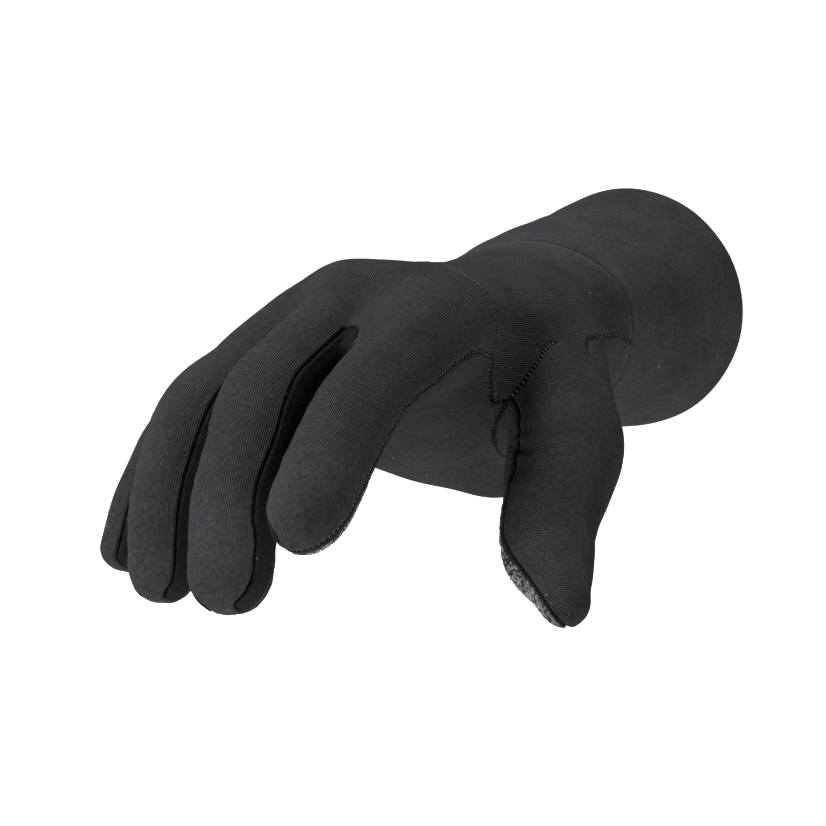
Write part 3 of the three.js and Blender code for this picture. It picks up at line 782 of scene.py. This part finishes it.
def groove(distance, p):
    """How far the cloth is drawn in at a distance from its seam, with puckers along it."""
    pucker = 0.0
    for direction, size in PUCKERS:
        pucker = pucker + np.sin(p @ direction * (2 * math.pi / size))
    depth = GROOVE_DEPTH * (1 + 0.16 * pucker) * np.exp(-(distance / GROOVE_WIDTH) ** 2)
    ridge = RIDGE_HEIGHT * (1 + 0.3 * pucker) * np.exp(-((distance - RIDGE_AT) / RIDGE_WIDTH) ** 2)
    return depth - ridge


PUCKERS = [(unit(random.normal(size=3)), size) for size in (3.1, 4.3, 5.9)]


def boundary_of(faces):
    """The directed edges that only one triangle has."""
    directed = directed_edges(faces)
    keys = np.sort(directed, axis=1)
    _, first, count = np.unique(keys, axis=0, return_index=True, return_counts=True)
    return directed[first[count == 1]]


STRIP_PAINTED_SHADE = 0.42     # painted shade on the strips between the fingers, which lie in the fingers' shadow: how far their colour is darkened beside the rest
# At the edge of the gauntlet its own cloth stands proud and the yoke's is drawn in: height and width
CUFF_STEP, YOKE_STEP = (-0.5, 0.9), (0.45, 1.6)


def make_panel(name, p, faces, normals, data, material):
    """One panel with its thickness, its seams' grooves and its cloth coordinates."""
    used, faces = np.unique(faces, return_inverse=True)
    faces = faces.reshape(-1, 3)
    p, normals = p[used], normals[used]
    data = {key: v[used] for key, v in data.items()}
    if name == "gauntlet":
        # The points on the closing seam are doubled, so that each of its two sides has an edge
        closing = np.flatnonzero((np.abs(data["cuff"]) < 1e-6) & (p[:, 0] < 0))
        copy = np.full(len(p), -1)
        copy[closing] = len(p) + np.arange(len(closing))
        beyond = data["cuff"][faces].mean(1) > 0
        swapped = np.where(copy[faces] >= 0, copy[faces], faces)
        faces = np.where(beyond[:, None], swapped, faces)
        p, normals = np.concatenate([p, p[closing]]), np.concatenate([normals, normals[closing]])
        data = {key: np.concatenate([v, v[closing]]) for key, v in data.items()}
    distance, edge = seam_distance(p, faces, data, name)
    step, step_width = CUFF_STEP if name == "gauntlet" else YOKE_STEP
    ribs = knit_direction(p, normals, name)
    v = flatten(p, faces, ribs)
    u = flatten(p, faces, unit(np.cross(ribs, normals)))
    outer = p - normals * (groove(distance, p) - step * np.exp(-(edge / step_width) ** 2))[:, None]
    inner = p - normals * CLOTH
    rim = boundary_of(faces)
    n = len(p)
    walls = np.concatenate([
        np.stack([rim[:, 1], rim[:, 0], rim[:, 0] + n], 1),
        np.stack([rim[:, 1], rim[:, 0] + n, rim[:, 1] + n], 1),
    ])
    all_faces = np.concatenate([faces, faces[:, ::-1] + n, walls])
    piece = add_mesh(f"{name}_cloth", np.concatenate([outer, inner]), all_faces, material)
    set_sharp(piece.data, np.concatenate([rim, rim + n]))
    sharpness = smoothstep(data["along"], ARM_LENGTH - 20, ARM_LENGTH + 30)
    for digit in DIGITS[:4]:
        s, _, _, _, raw = digit.place(p)
        tip = smoothstep(s, digit.length * 0.55, digit.length * 0.9) * (np.abs(raw) < 4)
        sharpness = sharpness * (1 - 0.75 * tip)
    # Painted light, kept as a factor on the colour: painted shade on the strips between the fingers, a
    # painted shadow on the gauntlet beside the yoke's overlapping edge, and a painted highlight along the
    # yoke's edge
    painted_light = np.full(n, STRIP_PAINTED_SHADE if name.startswith("fourchette") else 1.0)
    if name == "gauntlet":
        painted_light *= 0.6 + 0.4 * smoothstep(edge, 0, 6)
    else:
        painted_light *= 1 + 0.5 * np.exp(-(edge / 0.8) ** 2)
    for key, columns in (("cloth", (u, v, distance)), ("place", (sharpness, painted_light, edge))):
        values = np.stack(columns, 1)
        values = np.concatenate([values, values])
        piece.data.attributes.new(key, "FLOAT_VECTOR", "POINT").data.foreach_set("vector", values.ravel())
    return piece


def chains(pairs):
    """Joins edges into lines of point numbers."""
    after = {}
    for a, b in pairs.tolist():
        after.setdefault(a, []).append(b)
        after.setdefault(b, []).append(a)
    lines = []
    ends = [k for k, v in after.items() if len(v) != 2]
    for start in ends + list(after):
        while after.get(start):
            line = [start]
            here = start
            while after.get(here):
                there = after[here].pop()
                after[there].remove(here)
                line.append(there)
                here = there
                if len(after[here]) != 1:
                    break
            if len(line) > 3:
                lines.append(line)
    return lines


STITCH_LENGTH, STITCH_RADIUS, STITCH_SINK = 1.7, 0.17, 0.16
LINE_SMOOTHING = 6    # rounds that take the steps out of a seam's line
# How large the stitches are over the seam between two panels; the others are too fine to show any
STITCH_SIZES = {
    ("back_panel", "wrist_back"): 1,
    ("thumb_back", "wrist_back"): 1,
    ("wrist_back", "wrist_palm"): 0.85,
    ("back_panel", "palm_panel"): 0.65,
    ("palm_panel", "wrist_back"): 0.6,
    ("palm_panel", "thumb_palm"): 0.4,
}


def on_line(d, length, rows):
    """The row at the distance d along a line, between the rows at the distances length."""
    return np.array([np.interp(d, length, rows[:, i]) for i in range(3)])


def stitches(p, normals, faces, number, material):
    """A short thread over every seam at each stitch."""
    owner = np.tile(number, 3)
    keys = np.sort(directed_edges(faces), axis=1)
    order = np.lexsort((keys[:, 1], keys[:, 0]))
    keys, owner = keys[order], owner[order]
    same = (keys[1:] == keys[:-1]).all(1) & (owner[1:] != owner[:-1])
    pairs = keys[1:][same]
    between = np.sort(np.stack([owner[1:][same], owner[:-1][same]], 1), axis=1)
    points, triangles = [], []
    sides, rings = 6, 5
    angle = np.arange(sides) * (2 * math.pi / sides)
    offset = 0
    gauntlet = PANEL_NAMES.index("gauntlet")
    lines = []
    for first, second in np.unique(between, axis=0):
        if gauntlet in (first, second):
            continue
        names = tuple(sorted((PANEL_NAMES[first], PANEL_NAMES[second])))
        if names not in STITCH_SIZES:
            continue
        size = STITCH_SIZES[names]
        on_thumb = any(name.startswith("thumb") for name in names)
        lines += [(line, size, on_thumb) for line in chains(pairs[(between == (first, second)).all(1)])]
    for line, size, on_thumb in lines:
        at = p[line]
        for _ in range(LINE_SMOOTHING):
            at[1:-1] = at[1:-1] / 2 + (at[:-2] + at[2:]) / 4
        up = normals[line]
        length = np.concatenate([[0], np.cumsum(np.linalg.norm(np.diff(at, axis=0), axis=1))])
        count = int(length[-1] / STITCH_PITCH)
        for k in range(count):
            d = (k + 0.5) * STITCH_PITCH
            here = on_line(d, length, at)
            forward = (here - HAND_ORIGIN) @ HAND_FORWARD
            if on_thumb and forward < THUMB_SEAM_FADE and here[2] > THUMB_SEAM_UNDER:
                continue
            normal = unit(on_line(d, length, up))
            tangent = unit(on_line(d + 0.6, length, at) - on_line(d - 0.6, length, at))
            cross = unit(np.cross(normal, tangent) + tangent * random.uniform(0.15, 0.4))
            for r in range(rings):
                t = -1 + 2 * r / (rings - 1)
                sink = STITCH_SINK + 0.5 * t * t + GROOVE_DEPTH * (1 - size) / 2
                centre = here + cross * (t * size * STITCH_LENGTH / 2) - normal * sink
                radius = STITCH_RADIUS * (0.4 + 0.6 * size) * math.sqrt(max(0.15, 1 - t ** 4))
                ring = centre + radius * (
                    np.cos(angle)[:, None] * tangent + np.sin(angle)[:, None] * normal
                )
                points.append(ring)
            for r in range(rings - 1):
                for i in range(sides):
                    a, b = offset + r * sides + i, offset + r * sides + (i + 1) % sides
                    triangles += [(a, a + sides, b), (b, a + sides, b + sides)]
            last = offset + (rings - 1) * sides
            for i in range(1, sides - 1):
                triangles += [(offset, offset + i, offset + i + 1), (last, last + i + 1, last + i)]
            offset += rings * sides
    return add_mesh("seam_stitches", np.concatenate(points), triangles, material)


# Materials
class Graph:
    """Short forms for building a material from maths and textures."""

    def __init__(self, name):
        self.material = bpy.data.materials.new(name)
        self.material.use_nodes = True
        self.tree = self.material.node_tree
        self.shader = self.tree.nodes["Principled BSDF"]

    def link(self, source, target):
        if isinstance(source, (int, float, tuple)):
            target.default_value = source
        else:
            self.tree.links.new(source, target)

    def math(self, operation, *values):
        made = self.tree.nodes.new("ShaderNodeMath")
        made.operation = operation
        for value, socket in zip(values, made.inputs):
            self.link(value, socket)
        return made.outputs[0]

    def times(self, a, b):
        return self.math("MULTIPLY", a, b)

    def plus(self, a, b):
        return self.math("ADD", a, b)

    def set(self, name, value):
        self.link(value, self.shader.inputs[name])

    def attribute(self, name):
        made = self.tree.nodes.new("ShaderNodeAttribute")
        made.attribute_name = name
        split = self.tree.nodes.new("ShaderNodeSeparateXYZ")
        self.tree.links.new(made.outputs["Vector"], split.inputs[0])
        return split.outputs

    def noise(self, vector, scale, detail=3, roughness=0.5):
        made = self.tree.nodes.new("ShaderNodeTexNoise")
        self.link(vector, made.inputs["Vector"])
        made.inputs["Scale"].default_value = scale
        made.inputs["Detail"].default_value = detail
        made.inputs["Roughness"].default_value = roughness
        return made.outputs["Fac"]

    def ramp(self, value, low, high, to_low=0.0, to_high=1.0):
        made = self.tree.nodes.new("ShaderNodeMapRange")
        made.interpolation_type = "SMOOTHSTEP"
        self.link(value, made.inputs["Value"])
        for key, number in (("From Min", low), ("From Max", high), ("To Min", to_low), ("To Max", to_high)):
            self.link(number, made.inputs[key])
        return made.outputs["Result"]

    def mix(self, share, a, b):
        made = self.tree.nodes.new("ShaderNodeMix")
        made.data_type = "RGBA"
        self.link(share, made.inputs["Factor"])
        self.link(a, made.inputs["A"])
        self.link(b, made.inputs["B"])
        return made.outputs["Result"]

    def bump(self, height, distance, strength=1.0):
        made = self.tree.nodes.new("ShaderNodeBump")
        made.inputs["Distance"].default_value = distance
        made.inputs["Strength"].default_value = strength
        self.link(height, made.inputs["Height"])
        return made.outputs["Normal"]

    def place(self):
        made = self.tree.nodes.new("ShaderNodeTexCoord")
        return made.outputs["Object"]


# The knit's colour runs from KNIT_DARK to KNIT_LIGHT by a share that holds its own random tone and painted
# light: painted shade in the rib hollows, the seams' grooves and the strips between the fingers, and a
# painted shadow and highlight at the gauntlet's edge
KNIT_DARK = (0.0015, 0.0015, 0.0017, 1)
KNIT_LIGHT = (0.046, 0.046, 0.051, 1)
LINT = (0.35, 0.35, 0.34, 1)
THREAD_DARK, THREAD_LIGHT = (0.012, 0.012, 0.013, 1), (0.075, 0.075, 0.08, 1)
PRINT_DARK, PRINT_LIGHT = (0.02, 0.02, 0.021, 1), (0.13, 0.13, 0.135, 1)
FLOOR_DARK, FLOOR_LIGHT = (0.83, 0.83, 0.83, 1), (0.86, 0.86, 0.86, 1)


def knit_material():
    g = Graph("knit")
    u, v, distance = g.attribute("cloth")
    sharpness, painted_light, _ = g.attribute("place")
    place = g.place()
    wobble = g.times(g.math("SUBTRACT", g.noise(place, 160, 2), 0.5), 0.5)
    across = g.math("DIVIDE", g.plus(u, wobble), RIB_PITCH)
    slot = g.math("SUBTRACT", g.math("FRACT", across), 0.5)
    side = g.math("ABSOLUTE", slot)
    rib = g.math("COSINE", g.times(slot, 2 * math.pi))
    rib = g.plus(g.times(rib, 0.62), 0.46)
    loop = g.plus(g.math("DIVIDE", v, 0.8 * RIB_PITCH), g.times(side, 1.4))
    loop = g.plus(g.times(g.math("SINE", g.times(loop, 2 * math.pi)), 0.5), 0.5)
    fuzz = g.noise(place, 2600, 2, 0.7)
    height = g.plus(rib, g.times(loop, 0.3))
    relief = g.times(g.math("SUBTRACT", height, 0.65), g.ramp(sharpness, 0, 1, 0.08, 1))
    height = g.plus(relief, 0.65)
    height = g.plus(height, g.times(fuzz, 0.5))
    broad = g.noise(place, 38, 4, 0.6)
    grain = g.noise(place, 900, 3, 0.7)
    # The rib and loop relief sets the colour as well as the bump: painted shade in the hollows between the
    # ribs
    shade = g.plus(g.times(height, 0.62), 0.03)
    shade = g.times(shade, g.ramp(broad, 0.3, 0.7, 0.8, 1.15))
    shade = g.times(shade, g.ramp(grain, 0.3, 0.7, 0.75, 1.25))
    seam_shade = g.ramp(distance, 0.1, 0.8, 0.12, 1)
    # The colour is darkened by the painted shade in the seams' grooves and by the panels' painted light:
    # shade on the strips and the gauntlet's edge, and a highlight on the yoke's edge
    shade = g.times(g.times(shade, seam_shade), painted_light)
    colour = g.mix(shade, KNIT_DARK, KNIT_LIGHT)
    cells = g.tree.nodes.new("ShaderNodeTexVoronoi")
    cells.inputs["Scale"].default_value = 520
    g.link(place, cells.inputs["Vector"])
    pick = g.tree.nodes.new("ShaderNodeSeparateColor")
    g.link(cells.outputs["Color"], pick.inputs[0])
    near = g.ramp(cells.outputs["Distance"], 0.10, 0.16, 1, 0)
    few = g.math("GREATER_THAN", pick.outputs[0], 0.992)
    lint = g.times(g.times(near, few), g.ramp(pick.outputs[1], 0, 1, 0.25, 0.9))
    colour = g.mix(lint, colour, LINT)
    g.set("Base Color", colour)
    g.set("Normal", g.bump(height, 0.13 * MM, 1.0))
    g.set("Roughness", 0.85)
    g.set("Specular IOR Level", 0)
    # The sheen follows the painted light: weaker where shade is painted, stronger along the yoke's painted
    # highlight
    g.set("Sheen Weight", g.times(painted_light, 0.02))
    g.set("Sheen Roughness", 0.4)
    g.set("Sheen Tint", (0.8, 0.82, 0.9, 1))
    return g.material


def thread_material():
    g = Graph("thread")
    place = g.place()
    fine = g.noise(place, 5200, 2, 0.6)
    broad = g.noise(place, 220, 2)
    shade = g.times(fine, g.ramp(broad, 0.3, 0.7, 0.7, 1.2))
    g.set("Base Color", g.mix(shade, THREAD_DARK, THREAD_LIGHT))
    g.set("Normal", g.bump(fine, 0.05 * MM, 0.8))
    g.set("Roughness", 0.6)
    g.set("Sheen Weight", 0.15)
    return g.material


def print_material():
    g = Graph("print")
    place = g.place()
    broad = g.noise(place, 420, 3, 0.6)
    fine = g.noise(place, 3600, 3, 0.7)
    worn = g.ramp(broad, 0.4, 0.66)
    shade = g.times(worn, g.plus(g.times(fine, 0.5), 0.6))
    g.set("Base Color", g.mix(shade, PRINT_DARK, PRINT_LIGHT))
    g.set("Roughness", g.ramp(fine, 0.3, 0.7, 0.3, 0.55))
    g.set("Normal", g.bump(g.plus(fine, broad), 0.06 * MM, 0.7))
    g.set("Specular IOR Level", 0.4)
    return g.material


def floor_material():
    g = Graph("floor")
    place = g.place()
    g.set("Base Color", g.mix(g.noise(place, 3, 3), FLOOR_DARK, FLOOR_LIGHT))
    g.set("Roughness", 0.9)
    g.set("Specular IOR Level", 0)
    g.set("Emission Color", (1, 1, 1, 1))
    g.set("Emission Strength", 0.8)
    return g.material


# Grip print: small scales on the pads of the thumb and the index finger
SCALE = 1.25          # distance between the middles of neighbouring scales
SCALE_GAP = 0.22
WORN_SHARE = 0.22     # how many of the scales are worn off
# The digit, where the print starts along it, and its edge as a share of the radius towards the back
GRIPS = {
    "thumb_grip": (THUMB_DIGIT, 76, -0.6),
    "index_grip": (INDEX, 66, -0.42),
}


def grip_scales(name, p, normals, material):
    """Low six-sided scales in staggered rows over the pad of a digit, with the worn ones left out."""
    digit, start, edge = GRIPS[name]
    s, side, back, radius, raw = digit.place(p)
    pad = np.flatnonzero((s > start) & (back < edge * radius) & (np.abs(raw) < 3))
    q, n = p[pad], normals[pad]
    s, side, back = s[pad], side[pad], back[pad]
    angle = np.arctan2(side, -back / DIGIT_FLATNESS)
    u, v = angle * radius[pad].mean(), s
    points, triangles = [], []
    spread = np.arange(6) * (math.pi / 3)
    offset = 0
    taken = np.stack([u, v], 1)
    for j, row in enumerate(np.arange(v.min(), v.max(), SCALE * 0.87)):
        for column in np.arange(u.min() + (j % 2) * SCALE / 2, u.max(), SCALE):
            worn = random.uniform()
            away = ((taken - (column, row)) ** 2).sum(1)
            i = away.argmin()
            if away[i] > 0.6 or worn < WORN_SHARE:
                continue
            normal = n[i]
            forward = digit.forward[int(np.clip(round(s[i] + DIGIT_ROOT), 0, len(digit.s) - 1))]
            across = unit(np.cross(normal, forward))
            forward = np.cross(across, normal)
            size = (SCALE - SCALE_GAP) / math.sqrt(3) * random.uniform(0.8, 1.02)
            rim = across * np.cos(spread)[:, None] + forward * np.sin(spread)[:, None]
            low = q[i] + size * rim - normal * 0.15
            mid = q[i] + size * rim * 0.95 + normal * 0.16
            top = q[i] + size * rim * 0.6 + normal * 0.26
            points += [low, mid, top, (q[i] + normal * 0.29)[None]]
            for r in (0, 6):
                for k in range(6):
                    a, b = offset + r + k, offset + r + (k + 1) % 6
                    triangles += [(a, b, b + 6), (a, b + 6, a + 6)]
            triangles += [(offset + 12 + k, offset + 12 + (k + 1) % 6, offset + 18) for k in range(6)]
            triangles += [(offset, offset + k + 1, offset + k) for k in range(1, 5)]
            offset += 19
    return add_mesh(f"{name}_scales", np.concatenate(points), triangles, material)


# The glove
def build():
    p, faces = glove_surface()
    data = seam_fields(p)
    p, faces, data = cut(p, faces, data, "mouth", 0)
    faces = faces[data["mouth"][faces].mean(1) > 0]
    for field in SEAM_FIELDS:
        p, faces, data = cut(p, faces, data, field, 0)
    for level in GROOVE_LEVELS:
        for field in GROOVED_FIELDS:
            p, faces, data = cut(p, faces, data, field, level)
    p_on, normals = onto_surface(p, 1)
    number = panel_of(data, faces)
    knit, thread, grip = knit_material(), thread_material(), print_material()
    pieces = {}
    for i, name in enumerate(PANEL_NAMES):
        pieces[name] = make_panel(name, p_on, faces[number == i], normals, data, knit)
    pieces["seam_stitches"] = stitches(p_on, normals, faces, number, thread)
    for name in GRIPS:
        pieces[name] = grip_scales(name, p_on, normals, grip)
    return pieces


pieces = build()
FINGER_NAMES = ("index", "middle", "ring", "little")
for name, piece in pieces.items():
    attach(piece, "root")
    if name != "seam_stitches":
        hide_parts(name)
for finger in FINGER_NAMES:
    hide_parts(f"{finger}_back")
    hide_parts(f"{finger}_front")

# Floor, light and camera
FLOOR_BELOW = 60
FLOOR_SIZE = 6000
SWEEP_START = 1500    # where the floor begins to curve up behind the glove
SWEEP_RADIUS = 1500
low, high = (np.array(v) / MM for v in cad_bounds)
floor_z = low[2] - FLOOR_BELOW
bend = np.radians(np.arange(0, 91, 5))
profile = np.concatenate([
    [(-FLOOR_SIZE, floor_z)],
    np.stack([SWEEP_START + SWEEP_RADIUS * np.sin(bend), floor_z + SWEEP_RADIUS * (1 - np.cos(bend))], 1),
    [(SWEEP_START + SWEEP_RADIUS, floor_z + FLOOR_SIZE)],
])
corners = np.array([(x, y, z) for y, z in profile for x in (-FLOOR_SIZE, FLOOR_SIZE)])
quads = [(2 * i, 2 * i + 1, 2 * i + 3, 2 * i + 2) for i in range(len(profile) - 1)]
floor = add_mesh("floor", corners, quads, floor_material())

world = bpy.data.worlds.new("studio")
world.use_nodes = True
world.node_tree.nodes["Background"].inputs[0].default_value = (1, 1, 1, 1)
world.node_tree.nodes["Background"].inputs[1].default_value = 0.15
bpy.context.scene.world = world


def area_light(name, at, aim, size, power):
    lamp = bpy.data.lights.new(name, "AREA")
    lamp.shape = "DISK"
    lamp.size = size * MM
    lamp.energy = power
    made = bpy.data.objects.new(name, lamp)
    bpy.context.scene.collection.objects.link(made)
    made.location = np.array(at) * MM
    direction = Vector(np.array(aim) * MM) - made.location
    made.rotation_euler = direction.to_track_quat("-Z", "Y").to_euler()


GLOVE_MIDDLE = (0, -150, -10)
area_light("key", (-350, -550, 900), GLOVE_MIDDLE, 400, 19)
area_light("side", (-900, -700, 250), GLOVE_MIDDLE, 500, 3)

AZIMUTH, ELEVATION, ROLL = math.radians(22.79), math.radians(6.54), math.radians(4.51)
DISTANCE = 722.86
AIM = np.array([-5.4, -150, -22.9])
LENS, SENSOR = 118.73, 36
level = math.cos(ELEVATION)
behind = np.array([math.sin(AZIMUTH) * level, -math.cos(AZIMUTH) * level, math.sin(ELEVATION)])
right = np.array([math.cos(AZIMUTH), math.sin(AZIMUTH), 0])
up = np.cross(behind, right)
right, up = (
    right * math.cos(ROLL) + up * math.sin(ROLL),
    up * math.cos(ROLL) - right * math.sin(ROLL),
)
camera = bpy.data.objects.new("camera", bpy.data.cameras.new("camera"))
camera.data.lens, camera.data.sensor_width = LENS, SENSOR
camera.data.clip_end = 30
bpy.context.scene.collection.objects.link(camera)
matrix = np.eye(4)
matrix[:3, 0], matrix[:3, 1], matrix[:3, 2] = right, up, behind
matrix[:3, 3] = (AIM + DISTANCE * behind) * MM
camera.matrix_world = Matrix(matrix.tolist())
bpy.context.scene.camera = camera
bpy.context.scene.view_settings.view_transform = "Standard"

bpy.context.view_layer.update()
